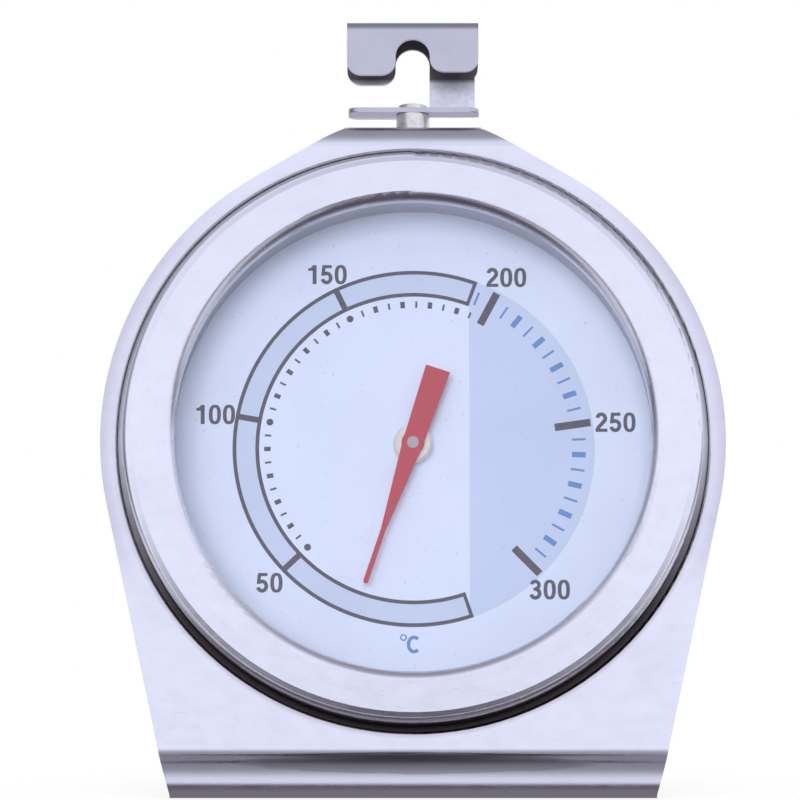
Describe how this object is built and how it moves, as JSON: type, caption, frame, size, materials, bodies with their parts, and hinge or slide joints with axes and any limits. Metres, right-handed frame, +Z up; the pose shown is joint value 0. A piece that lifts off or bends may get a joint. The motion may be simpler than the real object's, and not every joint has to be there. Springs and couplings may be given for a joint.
{
  "type": "oven thermometer",
  "caption": "Round dial oven thermometer in a leaning sheet-steel stand, with a bimetal needle, a domed steel bezel, a glass lens and a swivel hook for a rack wire.",
  "frame": {"origin": "middle of the stand's flat base, on its underside", "axes": "+Z up from the table; the dial faces -Y and leans back 11.5 degrees; +X is to the right when the dial is read"},
  "size_m": [0.0626, 0.035, 0.0778],
  "materials": {
    "stand_steel": "bright bead-rolled stainless sheet, fine satin with faint handling marks",
    "bezel_steel": "bright satin stainless, spun and crimped",
    "hook_steel": "satin stainless strip with pressed edges",
    "case_steel": "deep-drawn stainless with draw lines",
    "spring_steel": "grey tempered spring steel",
    "zinc_plate": "bright plated steel",
    "lens_glass": "clear heat-proof flat glass",
    "gasket": "matte pale silicone",
    "dial_print": "baked white enamel with printed scale",
    "needle_paint": "matte red paint",
    "brass": "turned brass, dull",
    "nickel_brass": "turned brass under worn nickel",
    "bimetal": "rolled bimetal strip, one face steel, one face alloy"
  },
  "bodies": {
    "stand": {"stand_frame": "stand_steel", "bezel_ring": "bezel_steel", "lens": "lens_glass", "lens_gasket": "gasket", "spacer_ring": "zinc_plate", "dial_plate": "dial_print", "case_cup": "case_steel", "retaining_ring": "spring_steel", "coil_housing": "case_steel", "housing_rivets": "zinc_plate", "front_bush": "brass", "bush_nut": "brass", "rear_bush": "brass", "bimetal_coil": "bimetal", "coil_anchor": "brass", "hook_rivet": "nickel_brass", "rivet_washer": "zinc_plate"},
    "needle": {"pointer": "needle_paint", "pointer_shaft": "brass", "coil_hub": "brass"},
    "hook": {"hook_bracket": "hook_steel"}
  },
  "joints": [
    {"name": "needle_turn", "type": "hinge", "parent": "stand", "child": "needle", "pos_m": [0, -0.00828, 0.0353], "axis": [0, 0.9799, -0.1994], "range_deg": [-26, 297], "stiffness_Nm_per_rad": 0.0002, "deforming": ["bimetal_coil"]},
    {"name": "hook_swivel", "type": "hinge", "parent": "stand", "child": "hook", "pos_m": [0, 0.00408, 0.06848], "axis": [0, 0.1994, 0.9799], "continuous": true}
  ]
}
